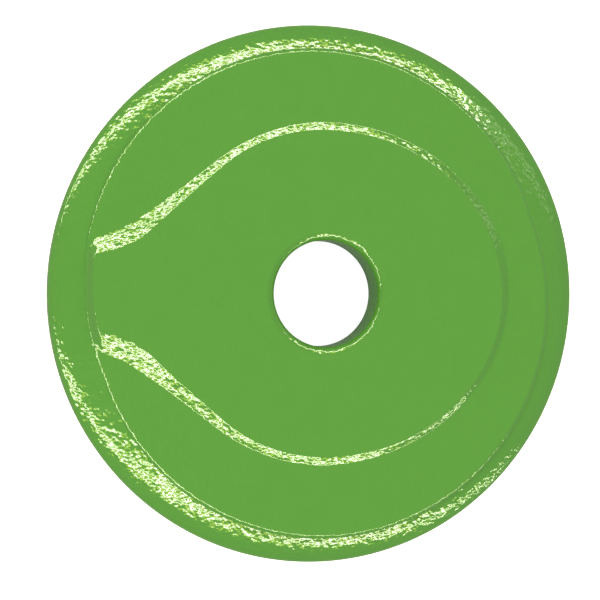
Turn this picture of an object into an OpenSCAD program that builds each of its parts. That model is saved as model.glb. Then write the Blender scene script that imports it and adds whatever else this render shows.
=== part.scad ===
// String vibration dampener for a racket.
// A rigid face plate with a raised racket-shaped panel is trapped by a snap-on bezel ring
// on a soft spool, whose groove sits between the two middle strings.
// Origin: on the axis, in the plane of the rear face. +Z points out of the front face,
// and the handle of the raised panel points along -X.

/* [Overall] */
// Outer diameter of the bezel ring
outer_d = 26; // [25.9:0.1:28]
// Height from the rear face to the top of the raised panel
total_h = 6.8; // [6.8:0.1:8]

/* [Bezel ring] */
// Height of the ring, from its rear lip to its crest
bezel_h = 2.1; // [2.05:0.05:2.2]
// Depth of the ring's crest below the raised panel
ring_drop = 0.5; // [0.4:0.05:0.6]
// Slope of the ring's front, in degrees
crown_angle = 19; // [15:1:21]
// Radius of the rounded front shoulder
shoulder_r = 0.6; // [0.4:0.05:0.65]
// Radius of the rounded rear edge
heel_r = 0.35; // [0.2:0.05:0.4]
// Radius of the oval window across its narrow side
window_r = 11.2; // [11.1:0.05:11.3]
// Extra half length of the oval window
window_stretch = 0.55; // [0:0.05:0.6]
// How far the oval's long axis leans from +Y towards the handle, in degrees
window_turn = 20; // [0:1:30]
// Radius of the pocket that holds the plate and the spool
pocket_r = 12.3; // [12.25:0.05:12.35]
// Inner radius of the rear snap lip
snap_r = 11.95; // [11.9:0.05:12.1]
// Thickness of the front lip that covers the plate's flange
lip_t = 0.7; // [0.65:0.05:0.75]
// Thickness of the rear snap lip
snap_t = 0.3; // [0.2:0.05:0.35]

/* [Face plate] */
// Thickness of the plate's flange
flange_t = 0.5; // [0.4:0.05:0.55]
// How far the plate's edge stands above the ring's crest
edge_step = 0.1; // [0.05:0.05:0.15]
// Width of the bevel along the plate's edge
edge_bevel = 0.15; // [0.1:0.05:0.2]
// Depth of the crescent's floor beside the panel's head
head_step = 0.15; // [0.1:0.05:0.2]
// Radius inside which the crescent's floor is level
dish_r = 8; // [7.9:0.1:8.2]
// Slope of the panel's sides, in degrees
slope_angle = 27; // [26:1:30]
// Radius of the panel's round head
head_r = 7.75; // [7.2:0.05:7.85]
// How far the head is stretched away from the handle
head_stretch = 0.9; // [0.1:0.1:1]
// Angle between the panel's shoulder and its handle
taper_angle = 40; // [36:1:42]
// Half width of the handle
handle_half_w = 1.7; // [1.6:0.05:2.2]
// Radius of the hollow curve from the shoulder into the handle
neck_r = 6; // [4:0.5:6.5]
// Radius of the centre hole
hole_r = 2.55; // [2:0.05:2.8]
// Radius of the rounded lip round the centre hole
hole_lip_r = 0.45; // [0.2:0.05:0.5]
// Length of the rear collar round the centre hole
collar_h = 0.35; // [0.1:0.05:0.4]

/* [Damping pad] */
// Thickness of the soft pad behind the plate
pad_t = 0.5; // [0.4:0.05:0.5]
// Outer radius of the pad
pad_r = 11.2; // [10:0.1:11.2]

/* [String spool] */
// Radius of the bore through the spool and the pad
bore_r = 4.4; // [4.4:0.05:4.8]
// Radius at the bottom of the string groove
waist_r = 5.7; // [5.7:0.1:6.5]
// Radius of the round at the bottom of the groove
groove_round_r = 0.8; // [0.7:0.05:0.9]
// Radius of the rear flange
rear_r = 9.8; // [9:0.1:10]
// Thickness of the rear flange at its edge
rear_t = 1.4; // [1.3:0.05:1.5]

/* [Hidden] */
$fn = 96;

clearance = 0.05;   // gap round each piece that drops into another
overcut = 1;        // how far a cutter runs past the face it opens
bezel_r = outer_d / 2;
ring_z = total_h - ring_drop;         // crest of the ring
bezel_z = ring_z - bezel_h;           // rear of the ring
flange_z = ring_z - lip_t;            // front of the plate's flange
plate_z = flange_z - flange_t;        // rear of the plate
pad_z = plate_z - pad_t;              // rear of the pad
cup_z = bezel_z + snap_t;             // step that the snap lip holds
flange_r = pocket_r - clearance;      // rim of the plate and of the spool
face_r = window_r - clearance;        // edge of the plate's face in the window
floor_r = face_r - edge_bevel;        // outer edge of the crescent's floor
floor_z = ring_z + edge_step;         // height of that edge
handle_r = floor_r - clearance;       // end of the panel's handle
dish_h = ring_drop - edge_step - head_step; // rise of the floor from there to the head
panel_h = ring_drop + edge_step;      // height of the panel from inside the plate
slope_w = panel_h / tan(slope_angle); // width in plan of the panel's full slope
groove_z = (rear_t + bezel_z) / 2;    // plane of the strings
groove_x = waist_r + groove_round_r;  // centre of the groove's round bottom
rear_edge_x = rear_r - rear_t / 2;    // centre of the rear flange's round edge
shoulder_x = bezel_r - shoulder_r;    // centre of the shoulder's round
slope_end_x = shoulder_x + shoulder_r * sin(crown_angle); // where it meets the slope
slope_end_z = ring_z - (slope_end_x - window_r) * tan(crown_angle);

// Where the panel's straight shoulder leaves the head, and where it meets the handle.
tangent_x = -head_r * sin(taper_angle);
tangent_y = head_r * cos(taper_angle);
corner_x = tangent_x - (tangent_y - handle_half_w) / tan(taper_angle);
corner_y = handle_half_w;
// Centre of the hollow curve, which touches the shoulder and the handle.
neck_x = corner_x - neck_r * tan(taper_angle / 2);
neck_y = handle_half_w + neck_r;
// The cutter is a little larger, so that it crosses the flat sides instead of only touching them.
hollow_r = neck_r + clearance;
// Where the hollow curve leaves the shoulder.
touch_x = neck_x + neck_r * sin(taper_angle);
touch_y = neck_y - neck_r * cos(taper_angle);

// A bar along X with sloped sides, given as its ends, half widths at foot and top, and height.
module sloped_bar(x0, x1, half_foot, half_top, h) {
    translate([x0, 0, 0]) rotate([90, 0, 90]) linear_extrude(x1 - x0)
        polygon([[-half_foot, 0], [half_foot, 0], [half_top, h], [-half_top, h]]);
}

// A prism on the window's oval, with its radius at the foot and at the top.
module oval_prism(foot_r, top_r, h) {
    rotate([0, 0, window_turn]) {
        for (side = [-1, 1]) translate([0, side * window_stretch, 0])
            cylinder(r1 = foot_r, r2 = top_r, h = h);
        rotate([0, 0, 90]) sloped_bar(-window_stretch, window_stretch, foot_r, top_r, h);
    }
}

// Half section of the bezel ring's band: sloping front, round shoulder and round heel.
module bezel_section() {
    inner = window_r - overcut;
    shoulder_z = slope_end_z - shoulder_r * cos(crown_angle);
    translate([shoulder_x, shoulder_z]) circle(shoulder_r);
    translate([bezel_r - heel_r, bezel_z + heel_r]) circle(heel_r);
    polygon([
        [inner, bezel_z], [bezel_r - heel_r, bezel_z], [bezel_r - heel_r, bezel_z + heel_r],
        [bezel_r, bezel_z + heel_r], [bezel_r, shoulder_z], [shoulder_x, shoulder_z],
        [slope_end_x, slope_end_z], [window_r, ring_z], [inner, ring_z]
    ]);
}

module bezel_ring() {
    color("#64a543") difference() {
        rotate_extrude() bezel_section();
        translate([0, 0, cup_z]) cylinder(r = pocket_r, h = flange_z - cup_z);
        translate([0, 0, bezel_z - overcut]) cylinder(r = snap_r, h = snap_t + overcut * 1.5);
        translate([0, 0, flange_z - lip_t / 2])
            oval_prism(window_r, window_r, lip_t + overcut);
    }
}

// The straight shoulder on the +Y side, with its sloped outer face.
module sloped_shoulder() {
    strip_w = handle_half_w;
    length = norm([tangent_x - corner_x, tangent_y - corner_y]);
    translate([tangent_x, tangent_y, 0]) rotate([0, 0, taper_angle]) rotate([90, 0, -90])
        linear_extrude(length)
            polygon([[-slope_w, 0], [strip_w, 0], [strip_w, panel_h], [0, panel_h]]);
}

// The fill between shoulder and handle on the +Y side, hollowed by an upturned cone.
module sloped_neck() {
    skin = 0.01;
    difference() {
        linear_extrude(panel_h)
            polygon([[touch_x, touch_y], [neck_x, neck_y], [neck_x, 0], [touch_x, 0]]);
        translate([neck_x, neck_y, -overcut])
            cylinder(r = hollow_r - slope_w, h = overcut + skin);
        translate([neck_x, neck_y, 0])
            cylinder(r1 = hollow_r - slope_w, r2 = hollow_r, h = panel_h);
        translate([neck_x, neck_y, panel_h - skin]) cylinder(r = hollow_r, h = overcut);
    }
}

// The raised panel: a round head, two straight shoulders and a handle, with sloped sides.
module raised_panel() {
    for (x = [0, head_stretch]) translate([x, 0, 0])
        cylinder(r1 = head_r + slope_w, r2 = head_r, h = panel_h);
    sloped_bar(0, head_stretch, head_r + slope_w, head_r, panel_h);
    sloped_bar(-bezel_r, tangent_x, handle_half_w + slope_w, handle_half_w, panel_h);
    linear_extrude(panel_h) polygon([
        [0, 0], [tangent_x, tangent_y], [corner_x, corner_y], [corner_x, -corner_y],
        [tangent_x, -tangent_y]
    ]);
    for (side = [0, 1]) mirror([0, side, 0]) {
        sloped_shoulder();
        sloped_neck();
    }
}

// What the rounded lip of the centre hole takes away from the panel's edge.
module hole_lip_cut() {
    rotate_extrude() difference() {
        translate([hole_r - hole_lip_r, total_h - hole_lip_r])
            square([2 * hole_lip_r, overcut]);
        translate([hole_r + hole_lip_r, total_h - hole_lip_r]) circle(hole_lip_r);
    }
}

module face_plate() {
    color("#64a543") difference() {
        union() {
            translate([0, 0, plate_z]) cylinder(r = flange_r, h = flange_t);
            translate([0, 0, plate_z - collar_h])
                cylinder(r = bore_r - clearance, h = collar_h + flange_t / 2);
            translate([0, 0, plate_z]) oval_prism(face_r, face_r, ring_z - plate_z);
            translate([0, 0, ring_z]) oval_prism(face_r, floor_r, edge_step);
            translate([0, 0, floor_z]) oval_prism(floor_r, dish_r, dish_h);
            translate([0, 0, total_h - panel_h]) intersection() {
                raised_panel();
                oval_prism(handle_r, handle_r, panel_h);
            }
        }
        translate([0, 0, plate_z - overcut]) cylinder(r = hole_r, h = total_h);
        hole_lip_cut();
    }
}

module damping_pad() {
    color("#5c6054") translate([0, 0, pad_z]) difference() {
        cylinder(r = pad_r, h = pad_t);
        translate([0, 0, -overcut]) cylinder(r = bore_r, h = pad_t + 2 * overcut);
    }
}

// Half section of the spool: rear flange, grooved waist and the cup that holds the pad.
module spool_section() {
    stem_r = snap_r - clearance;
    cup_r = pad_r + clearance;
    translate([rear_edge_x, rear_t / 2]) circle(rear_t / 2);
    difference() {
        polygon([
            [bore_r, 0], [rear_edge_x, 0], [rear_edge_x, rear_t],
            [groove_x, groove_z - groove_round_r], [groove_x, groove_z + groove_round_r],
            [stem_r, bezel_z], [stem_r, cup_z], [flange_r, cup_z],
            [flange_r, plate_z], [cup_r, plate_z], [cup_r, pad_z], [bore_r, pad_z]
        ]);
        translate([groove_x, groove_z]) circle(groove_round_r);
    }
}

module string_spool() {
    color("#5d9c3e") rotate_extrude() spool_section();
}

bezel_ring();
face_plate();
damping_pad();
string_spool();
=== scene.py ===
"""Looks of the racket string dampener: detailed meshes, materials, light and camera, over the CAD frame."""

import bpy
import math
import numpy as np
from mathutils import Matrix, Vector


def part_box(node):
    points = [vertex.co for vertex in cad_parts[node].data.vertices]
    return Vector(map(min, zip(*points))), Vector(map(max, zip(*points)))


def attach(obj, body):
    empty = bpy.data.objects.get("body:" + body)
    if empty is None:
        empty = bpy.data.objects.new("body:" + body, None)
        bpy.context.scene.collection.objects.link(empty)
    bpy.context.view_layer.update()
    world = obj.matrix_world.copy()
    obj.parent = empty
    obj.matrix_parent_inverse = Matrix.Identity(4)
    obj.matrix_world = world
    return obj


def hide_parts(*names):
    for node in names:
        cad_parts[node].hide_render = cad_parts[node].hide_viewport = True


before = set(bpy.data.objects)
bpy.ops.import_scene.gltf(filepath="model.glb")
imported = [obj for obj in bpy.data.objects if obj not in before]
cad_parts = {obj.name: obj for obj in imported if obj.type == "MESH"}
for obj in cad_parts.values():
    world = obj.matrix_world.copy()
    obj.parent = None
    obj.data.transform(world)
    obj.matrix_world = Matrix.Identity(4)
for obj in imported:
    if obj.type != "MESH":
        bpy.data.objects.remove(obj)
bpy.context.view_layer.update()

MM = 0.001
DEG = math.pi / 180

# ---- Places taken from the frame ----
ring_low, ring_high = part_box("bezel_ring")
plate_low, plate_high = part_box("face_plate")
pad_low, pad_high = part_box("damping_pad")

BEZEL_R = ring_high[0]
RING_Z = ring_high[2]
BEZEL_Z = ring_low[2]
FLANGE_R = plate_high[0]
PANEL_Z = plate_high[2]
COLLAR_Z = plate_low[2]
PLATE_Z = pad_high[2]
PAD_Z = pad_low[2]
PAD_R = pad_high[0]

# ---- Driving dimensions, the same as in the CAD source ----
WINDOW_R = 11.2 * MM               # each of the two circles that make the ring's oval window
WINDOW_STRETCH = 0.55 * MM         # each circle's distance from the axis
WINDOW_TURN = 20 * DEG             # lean of the window's long axis off +Y towards the handle
FLANGE_Z = RING_Z - 0.7 * MM       # front of the plate's flange, under the ring
FLOOR_Z = RING_Z + 0.1 * MM        # edge of the crescent's floor
DISH_Z = PANEL_Z - 0.15 * MM       # the floor beside the panel's head
DISH_R = 8.0 * MM                  # the floor starts to fall here
POCKET_R = 12.3 * MM               # the ring's inside
SNAP_R = 11.95 * MM                # the ring's snap lip
SNAP_T = 0.3 * MM
CLEARANCE = 0.05 * MM
HOLE_R = 2.55 * MM
BORE_R = 4.4 * MM                  # bore of pad and spool
WAIST_R = 5.7 * MM                 # bottom of the string groove
GROOVE_ROUND_R = 0.8 * MM
REAR_R = 9.8 * MM                  # the spool's rear flange
REAR_T = 1.4 * MM


# ---- Mesh helpers ----
def arc(centre_r, centre_z, radius, start, end, steps):
    """Points (r, z) on an arc. Angles are in degrees from +r towards +z."""
    angles = np.linspace(start, end, steps) * DEG
    return [(centre_r + radius * math.cos(a), centre_z + radius * math.sin(a)) for a in angles]


def ring_mesh(name, radii, heights, angles):
    """A closed ring from sections: radii and heights hold one closed section for each angle."""
    columns, rows = radii.shape
    x = radii * np.cos(angles)[:, None]
    y = radii * np.sin(angles)[:, None]
    corners = np.stack([x, y, heights], axis=-1).reshape(-1, 3)
    here = np.arange(columns)[:, None] * rows + np.arange(rows)[None, :]
    beside = np.roll(here, -1, axis=0)
    faces = np.stack([here, beside, np.roll(beside, -1, axis=1), np.roll(here, -1, axis=1)], axis=-1)
    mesh = bpy.data.meshes.new(name)
    mesh.from_pydata(corners.tolist(), [], faces.reshape(-1, 4).tolist())
    mesh.validate()
    mesh.shade_smooth()
    mesh.set_sharp_from_angle(angle=40 * DEG)
    piece = bpy.data.objects.new(name, mesh)
    bpy.context.scene.collection.objects.link(piece)
    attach(piece, "root")
    return piece


def lathe(name, section, columns=256):
    """A closed ring with the same section (r, z) all round."""
    angles = np.linspace(0, 2 * math.pi, columns, endpoint=False)
    points = np.array(section)
    radii = np.tile(points[:, 0], (columns, 1))
    heights = np.tile(points[:, 1], (columns, 1))
    return ring_mesh(name, radii, heights, angles)


def smooth_step(t):
    """A ramp from 0 to 1 that starts and ends level."""
    t = np.clip(t, 0, 1)
    return t * t * (3 - 2 * t)


def soft_ramp(t, rounding=0.12):
    """A straight ramp from 0 to 1 with rounded ends."""
    def bend(u):
        return np.where(np.abs(u) < rounding / 2, (u + rounding / 2) ** 2 / (2 * rounding), np.maximum(u, 0))
    return bend(t) - bend(t - 1)


# ---- Outlines and curves ----
ARC_STEPS = 12


def falling_curve(tilts, arc_radii):
    """Points (across, drop) along arcs that each start at the tilt in degrees the last one ends at."""
    across, drop, points = 0.0, 0.0, [(0.0, 0.0)]
    for radius, start, end in zip(arc_radii, tilts, tilts[1:]):
        for tilt in np.linspace(start, end, ARC_STEPS + 1)[1:] * DEG:
            step_across = radius * (math.sin(tilt) - math.sin(start * DEG))
            step_drop = radius * (math.cos(start * DEG) - math.cos(tilt))
            points.append((across + step_across, drop + step_drop))
        across, drop = points[-1]
    return np.array(points).T


def window_radius(angles):
    """Radius of the ring's oval window, two circles a little apart along its leaning long axis."""
    turned = angles - WINDOW_TURN
    across = WINDOW_STRETCH * np.cos(turned)
    return WINDOW_STRETCH * np.abs(np.sin(turned)) + np.sqrt(WINDOW_R**2 - across**2)


# The panel's outline is taken halfway down its slope.
HEAD_R = 7.95 * MM
HEAD_REACH = 9.0 * MM       # the head's reach away from the handle
TAPER = 40 * DEG            # the shoulder's angle to the handle
HANDLE_HALF_W = 2.1 * MM
NECK_R = 5.6 * MM           # the hollow between shoulder and handle
HANDLE_END_W = 0.45 * MM    # the handle's end runs down over this width


def panel_distance(x, y):
    """Distance outside the panel's racket-shaped outline. It is negative inside."""
    y = np.abs(y)
    tangent = np.array([-HEAD_R * math.sin(TAPER), HEAD_R * math.cos(TAPER)])
    corner_x = tangent[0] - (tangent[1] - HANDLE_HALF_W) / math.tan(TAPER)
    neck = np.array([corner_x - NECK_R * math.tan(TAPER / 2), HANDLE_HALF_W + NECK_R])
    out = np.array([-math.sin(TAPER), math.cos(TAPER)])
    along = np.array([-math.cos(TAPER), -math.sin(TAPER)])
    reach = np.where(x > 0, HEAD_REACH, HEAD_R)
    # The two tiny numbers keep the division safe at the centre.
    k = np.sqrt((x / reach) ** 2 + (y / HEAD_R) ** 2) + 1e-9
    head = (k - 1) * k / np.sqrt((x / reach**2) ** 2 + (y / HEAD_R**2) ** 2 + 1e-6)
    shoulder = (x - tangent[0]) * out[0] + (y - tangent[1]) * out[1]
    hollow = NECK_R - np.hypot(x - neck[0], y - neck[1])
    past_head = (x - tangent[0]) * along[0] + (y - tangent[1]) * along[1]
    past_shoulder = (x - neck[0]) * along[0] + (y - neck[1]) * along[1]
    distance = np.where(past_head > 0, shoulder, head)
    distance = np.where((past_shoulder > 0) & (y < neck[1]), hollow, distance)
    return np.where((x < neck[0]) & (y < neck[1]), y - HANDLE_HALF_W, distance)


# The crescent's tips, beside the handle, fall sooner than the rest of its floor.
TIP_DISH_R = 7.2 * MM
TIP_DISH_W = 2.3 * MM
TIPS_FROM_X = -3 * MM
TIPS_BLEND_W = 4 * MM


def face_height(x, y, inset):
    """Height of the plate's face: panel, slope and falling floor, at an inset from the plate's edge."""
    r = np.hypot(x, y)
    dish = np.clip((r - DISH_R) / (r + inset - DISH_R), 0, 1)
    tip_dish = np.clip((r - TIP_DISH_R) / TIP_DISH_W, 0, 1)
    dish = dish + (tip_dish - dish) * smooth_step((TIPS_FROM_X - x) / TIPS_BLEND_W)
    floor = DISH_Z - (DISH_Z - FLOOR_Z) * dish
    width = (PANEL_Z - floor) / np.tan(slope_tilt(x, y))
    panel = 1 - soft_ramp(panel_distance(x, y) / width + 0.5)
    inside = smooth_step(inset / HANDLE_END_W)
    edge_round = np.interp(EDGE_ACROSS[-1] - inset, EDGE_ACROSS, EDGE_DROP)
    edge = edge_round * (1 - panel) + (FLOOR_Z - RING_Z) * panel * (1 - inside)
    return floor + (PANEL_Z - floor) * panel * inside - edge


def slope_tilt(x, y):
    """Tilt of the panel's slope: gentlest beside the hole and steeper towards both ends of the head.

    The tilts are in degrees. Each of the four blends runs from 0 to 1.
    """
    lower = smooth_step(0.5 - y / (4 * MM))
    left = smooth_step(-x / (7.5 * MM))
    right = smooth_step(x / (6 * MM))
    at_handle = smooth_step((-x - 7 * MM) / (2 * MM))
    beside_hole = 20.5 - lower
    more_left = 6.5 - 3 * lower
    more_right = 3 + 7 * lower
    less_at_handle = 3.5 - lower
    tilt = beside_hole + more_left * left + more_right * right - less_at_handle * at_handle
    return tilt * DEG


# ---- Pieces ----
# The ring's front rounds over, slopes almost evenly, bends down and ends in the rim.
RIM_ACROSS, RIM_DROP = falling_curve([15, 19.5, 20, 33, 90], [2.67 * MM, 72 * MM, 3.7 * MM, 0.44 * MM])
RIM_R = RIM_ACROSS + BEZEL_R - RIM_ACROSS[-1]
BEND_START = 2 * ARC_STEPS
# The hole's lip, and the plate's edge above the ring.
LIP_ACROSS, LIP_DROP = falling_curve([2, 17, 28, 90], [0.15 * MM, 1.1 * MM, 0.33 * MM])
EDGE_ACROSS, EDGE_DROP = falling_curve([13, 43], [0.415 * MM])
WINDOW_COLUMNS = 480


def face_plate():
    """Plate with the centre hole, the raised panel, the crescent and a flange under the ring."""
    samples = 160
    edge_round = 0.08 * MM
    collar_r = BORE_R - CLEARANCE
    angles = np.linspace(0, 2 * math.pi, WINDOW_COLUMNS, endpoint=False)
    hole = arc(HOLE_R + edge_round, COLLAR_Z + edge_round, edge_round, 270, 180, 4)
    hole += [(HOLE_R + LIP_ACROSS[-1] - a, PANEL_Z - d) for a, d in zip(LIP_ACROSS, LIP_DROP)][:0:-1]
    rear = [(FLANGE_R - CLEARANCE, FLANGE_Z), (FLANGE_R, FLANGE_Z - CLEARANCE)]
    rear += [(FLANGE_R, PLATE_Z + CLEARANCE), (FLANGE_R - CLEARANCE, PLATE_Z)]
    rear += [(collar_r, PLATE_Z), (collar_r, COLLAR_Z + edge_round), (collar_r - edge_round, COLLAR_Z)]

    # Samples crowd together at the panel's slope and at the plate's edge.
    fine = np.linspace(0, 1, 900)
    start_r = HOLE_R + LIP_ACROSS[-1]
    radii, heights = [], []
    for angle, end_r in zip(angles, window_radius(angles)):
        ray = start_r + fine * (end_r - start_r)
        distance = panel_distance(ray * math.cos(angle), ray * math.sin(angle))
        at_slope = np.exp(-((distance / (0.6 * MM)) ** 2))
        at_edge = np.exp(-((end_r - ray) / (0.2 * MM)))
        density = 0.3 + at_slope + 3 * at_edge
        share = np.concatenate([[0], np.cumsum((density[1:] + density[:-1]) / 2)])
        r = np.interp(np.linspace(0, 1, samples), share / share[-1], ray)
        z = face_height(r * math.cos(angle), r * math.sin(angle), end_r - r)
        radii.append([p[0] for p in hole] + list(r) + [end_r] + [p[0] for p in rear])
        heights.append([p[1] for p in hole] + list(z) + [FLANGE_Z] + [p[1] for p in rear])
    return ring_mesh("face_plate_moulding", np.array(radii), np.array(heights), angles)


def bezel_ring():
    """Ring with a sloping front, a crisp window edge, a round shoulder and a snap lip behind."""
    heel_r = 0.35 * MM
    chamfer = 0.1 * MM
    face_steps = 15
    angles = np.linspace(0, 2 * math.pi, WINDOW_COLUMNS, endpoint=False)
    rear = arc(BEZEL_R - heel_r, BEZEL_Z + heel_r, heel_r, 0, -90, 8)
    rear += [(SNAP_R + chamfer, BEZEL_Z), (SNAP_R, BEZEL_Z + chamfer), (SNAP_R, BEZEL_Z + SNAP_T)]
    rear += [(POCKET_R, BEZEL_Z + SNAP_T), (POCKET_R, FLANGE_Z)]
    outer_r = RIM_R[BEND_START:]
    radii, heights = [], []
    for angle, edge_r in zip(angles, window_radius(angles)):
        inner_r = np.linspace(edge_r, outer_r[0], face_steps, endpoint=False)
        r = np.concatenate([inner_r, outer_r])
        z = RING_Z - np.interp(r, RIM_R, RIM_DROP, left=0)
        radii.append([edge_r] + list(r) + [p[0] for p in rear])
        heights.append([FLANGE_Z] + list(z) + [p[1] for p in rear])
    return ring_mesh("bezel_ring_moulding", np.array(radii), np.array(heights), angles)


def damping_pad():
    """Soft pad with rounded edges, between plate and spool."""
    edge = 0.15 * MM
    section = arc(BORE_R + edge, PAD_Z + edge, edge, 270, 180, 5)
    section += arc(BORE_R + edge, PLATE_Z - edge, edge, 180, 90, 5)
    section += arc(PAD_R - edge, PLATE_Z - edge, edge, 90, 0, 5)
    section += arc(PAD_R - edge, PAD_Z + edge, edge, 0, -90, 5)
    pad = lathe("damping_pad_foam", section)
    return pad


def string_spool():
    """Soft spool: rounded rear flange, string groove and the cup that holds the pad."""
    edge = 0.12 * MM
    groove_z = (REAR_T + BEZEL_Z) / 2
    groove_r = WAIST_R + GROOVE_ROUND_R
    rear_round = REAR_T / 2
    stem_r = SNAP_R - CLEARANCE
    cup_r = PAD_R + CLEARANCE
    cup_z = BEZEL_Z + SNAP_T
    bore_round = 0.35 * MM
    section = arc(BORE_R + bore_round, bore_round, bore_round, 180, 270, 8)
    section += arc(REAR_R - rear_round, rear_round, rear_round, -90, 82, 24)
    section += arc(groove_r, groove_z, GROOVE_ROUND_R, 278, 82, 28)
    section += [(stem_r - edge, BEZEL_Z), (stem_r, BEZEL_Z + edge), (stem_r, cup_z)]
    section += [(FLANGE_R, cup_z), (FLANGE_R, PLATE_Z), (cup_r, PLATE_Z), (cup_r, PAD_Z)]
    section += [(BORE_R, PAD_Z)]
    return lathe("string_spool_moulding", section)


# ---- Materials ----
def node(tree, kind, **values):
    """A node with its settings: input sockets by name with spaces as underscores, or properties."""
    made = tree.nodes.new(kind)
    for key, value in values.items():
        socket = key.replace("_", " ")
        if socket in made.inputs:
            made.inputs[socket].default_value = value
        else:
            setattr(made, key, value)
    return made


def noise(tree, scale, detail=2.0):
    """Noise in the piece's own coordinates. The scale is in cycles per metre."""
    where = node(tree, "ShaderNodeTexCoord")
    made = node(tree, "ShaderNodeTexNoise", Scale=scale, Detail=detail, Roughness=0.5)
    tree.links.new(where.outputs["Object"], made.inputs["Vector"])
    return made.outputs["Fac"]


def spread(tree, value, low, high):
    """Maps the usual range of a noise value to another."""
    made = node(tree, "ShaderNodeMapRange", From_Min=0.3, From_Max=0.7, To_Min=low, To_Max=high)
    tree.links.new(value, made.inputs["Value"])
    return made.outputs["Result"]


def tinted(tree, value, dark, light):
    """Blends two near colours by a noise value."""
    made = node(tree, "ShaderNodeMix", data_type="RGBA")
    made.inputs["A"].default_value = (*dark, 1)
    made.inputs["B"].default_value = (*light, 1)
    tree.links.new(value, made.inputs["Factor"])
    return made.outputs["Result"]


def bump(tree, height, depth, before=None):
    """Bump of a depth in metres, on top of the normal before it if there is one."""
    made = node(tree, "ShaderNodeBump", Strength=1.0, Distance=depth)
    tree.links.new(height, made.inputs["Height"])
    if before is not None:
        tree.links.new(before, made.inputs["Normal"])
    return made.outputs["Normal"]


def material(name, roughness, **values):
    """A principled material with input sockets set by name, spaces as underscores."""
    made = bpy.data.materials.new(name)
    made.use_nodes = True
    shader = made.node_tree.nodes["Principled BSDF"]
    shader.inputs["Roughness"].default_value = roughness
    for key, value in values.items():
        shader.inputs[key.replace("_", " ")].default_value = value
    return made, made.node_tree, shader


def glossy_shell():
    """Hard glossy plastic with a fine orange-peel skin that breaks highlights into sparks."""
    made, tree, shader = material("glossy_shell", 0.08, IOR=1.7)
    colour = tinted(tree, noise(tree, 900, 3), (0.079, 0.244, 0.036), (0.085, 0.255, 0.040))
    tree.links.new(colour, shader.inputs["Base Color"])
    tree.links.new(spread(tree, noise(tree, 2500), 0.07, 0.11), shader.inputs["Roughness"])
    peel = bump(tree, noise(tree, 3500, 1), 0.030 * MM)
    tree.links.new(bump(tree, noise(tree, 12000, 1), 0.001 * MM, peel), shader.inputs["Normal"])
    return made


def soft_silicone():
    """Satin silicone rubber with a fine moulded grain."""
    made, tree, shader = material("soft_silicone", 0.45, IOR=1.42)
    colour = tinted(tree, noise(tree, 500, 4), (0.076, 0.238, 0.035), (0.092, 0.268, 0.043))
    tree.links.new(colour, shader.inputs["Base Color"])
    tree.links.new(spread(tree, noise(tree, 1800), 0.38, 0.52), shader.inputs["Roughness"])
    grain = bump(tree, noise(tree, 7000, 3), 0.004 * MM)
    tree.links.new(grain, shader.inputs["Normal"])
    return made


def damping_foam():
    """Dull grey cellular foam."""
    made, tree, shader = material("damping_foam", 0.85)
    colour = tinted(tree, noise(tree, 3000, 4), (0.07, 0.075, 0.06), (0.13, 0.14, 0.11))
    tree.links.new(colour, shader.inputs["Base Color"])
    tree.links.new(bump(tree, noise(tree, 5000, 4), 0.03 * MM), shader.inputs["Normal"])
    return made


# ---- Stage, light and camera ----
def table(name, z, base, glow):
    """A plain level sheet, larger than the picture."""
    half_side = 1.2
    mesh = bpy.data.meshes.new(name)
    corners = [(sx * half_side, sy * half_side, z) for sx, sy in ((-1, -1), (1, -1), (1, 1), (-1, 1))]
    mesh.from_pydata(corners, [], [(0, 1, 2, 3)])
    sheet = bpy.data.objects.new(name, mesh)
    bpy.context.scene.collection.objects.link(sheet)
    made, _, shader = material(name, 0.9, Specular_IOR_Level=0.1, Emission_Strength=glow)
    shader.inputs["Base Color"].default_value = (base, base, base, 1)
    shader.inputs["Emission Color"].default_value = (1, 1, 1, 1)
    mesh.materials.append(made)
    return sheet


def pale_floor():
    """White sheet that the camera sees, over a darker one that keeps its glow off the disc."""
    white = table("pale_floor", -0.02 * MM, 0.82, 1.0)
    white.visible_glossy = False
    white.visible_diffuse = False
    dark = table("dark_underlay", -1 * MM, 0.8, 0.12)
    dark.visible_camera = False


def strip_light(name, side, left, right, angle_deg, lean, width_deg, radiance, colour):
    """A long strip over the disc, on the +Y or -Y side, at an angle from straight above.

    left and right are its ends along X as shares of its height, and lean is how fast it
    moves away from the axis towards +X. Its width is the angle it fills, seen from the disc.
    """
    height = 0.2
    along = Vector((1, side * lean, 0)).normalized()
    near = Vector((0, side * height * math.tan(angle_deg * DEG), height))
    towards = -near - along * along.dot(-near)
    width = 2 * towards.length * math.tan(width_deg / 2 * DEG)
    data = bpy.data.lights.new(name, "AREA")
    data.shape = "RECTANGLE"
    data.size = (right - left) * height / along.x
    data.size_y = width
    data.energy = radiance * math.pi * data.size * data.size_y
    data.color = colour
    light = bpy.data.objects.new(name, data)
    back = -towards.normalized()
    middle = near + along * ((left + right) / 2 * height / along.x) + Vector((0, 0, PANEL_Z))
    turn = Matrix((along, back.cross(along), back)).transposed().to_4x4()
    light.matrix_world = Matrix.Translation(middle) @ turn
    bpy.context.scene.collection.objects.link(light)


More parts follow.
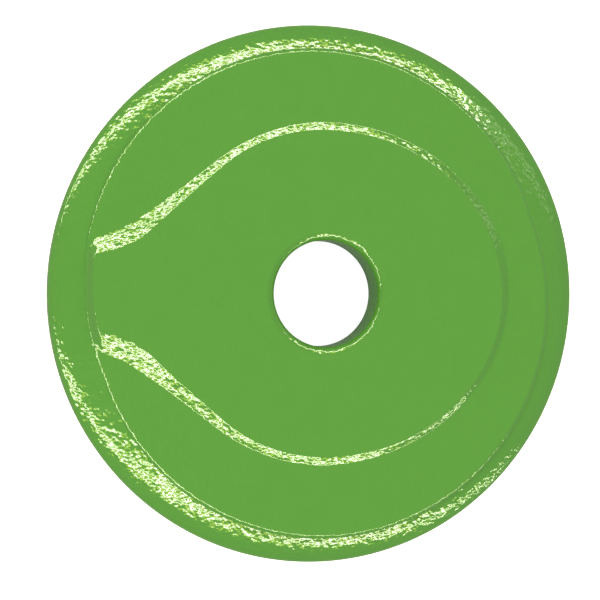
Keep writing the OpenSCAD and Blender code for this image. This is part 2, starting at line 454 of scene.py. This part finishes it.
def soft_sky():
    """Even pale light from all round."""
    world = bpy.data.worlds.new("soft_sky")
    world.use_nodes = True
    background = world.node_tree.nodes["Background"]
    background.inputs["Color"].default_value = (1, 1, 1, 1)
    background.inputs["Strength"].default_value = 0.35
    bpy.context.scene.world = world


def camera():
    """Looks down at the face from 14 degrees to the left, with +Y up in the picture."""
    lean = 14 * DEG
    distance = 5 * BEZEL_R
    right = Vector((math.cos(lean), 0, math.sin(lean)))
    up = Vector((0, 1, 0))
    back = Vector((-math.sin(lean), 0, math.cos(lean)))
    data = bpy.data.cameras.new("camera")
    data.sensor_width = 36
    data.lens = 82.2
    data.shift_x = -0.0465
    data.shift_y = -0.0107
    data.clip_start = 0.001
    data.clip_end = 10
    made = bpy.data.objects.new("camera", data)
    place = Vector((0, 0, PANEL_Z)) + back * distance
    made.matrix_world = Matrix.Translation(place) @ Matrix((right, up, back)).transposed().to_4x4()
    bpy.context.scene.collection.objects.link(made)
    bpy.context.scene.camera = made


# ---- Build ----
shell, silicone, foam = glossy_shell(), soft_silicone(), damping_foam()
for make, cad_node, look, slot in (
    (bezel_ring, "bezel_ring", shell, "glossy_shell"),
    (face_plate, "face_plate", shell, "glossy_shell"),
    (damping_pad, "damping_pad", foam, "soft_pad"),
    (string_spool, "string_spool", silicone, "soft_spool"),
):
    piece = make()
    piece.data.materials.append(look)
    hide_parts(cad_node)

pale_floor()
soft_sky()
WHITE = (1, 1, 0.95)
YELLOW_GREEN = (0.85, 1, 0.1)
for name, side, left, right, angle_deg, lean, strength in (
    ("top_strip", 1, -4.0, 1.35, 48.5, -0.04, 1),
    ("top_right_strip", 1, 1.35, 3.5, 48.5, -0.04, 0.12),
    ("bottom_left_strip", -1, -2.5, 0.0, 44, 0.17, 1),
    ("bottom_right_strip", -1, 0.0, 9.0, 45, 0.5, 1),
):
    for part, width_deg, radiance, colour in (("", 3.0, 19, WHITE), ("_glow", 12, 4.5, YELLOW_GREEN)):
        strip_light(name + part, side, left, right, angle_deg, lean, width_deg, radiance * strength, colour)
camera()
bpy.context.scene.view_settings.view_transform = "Standard"
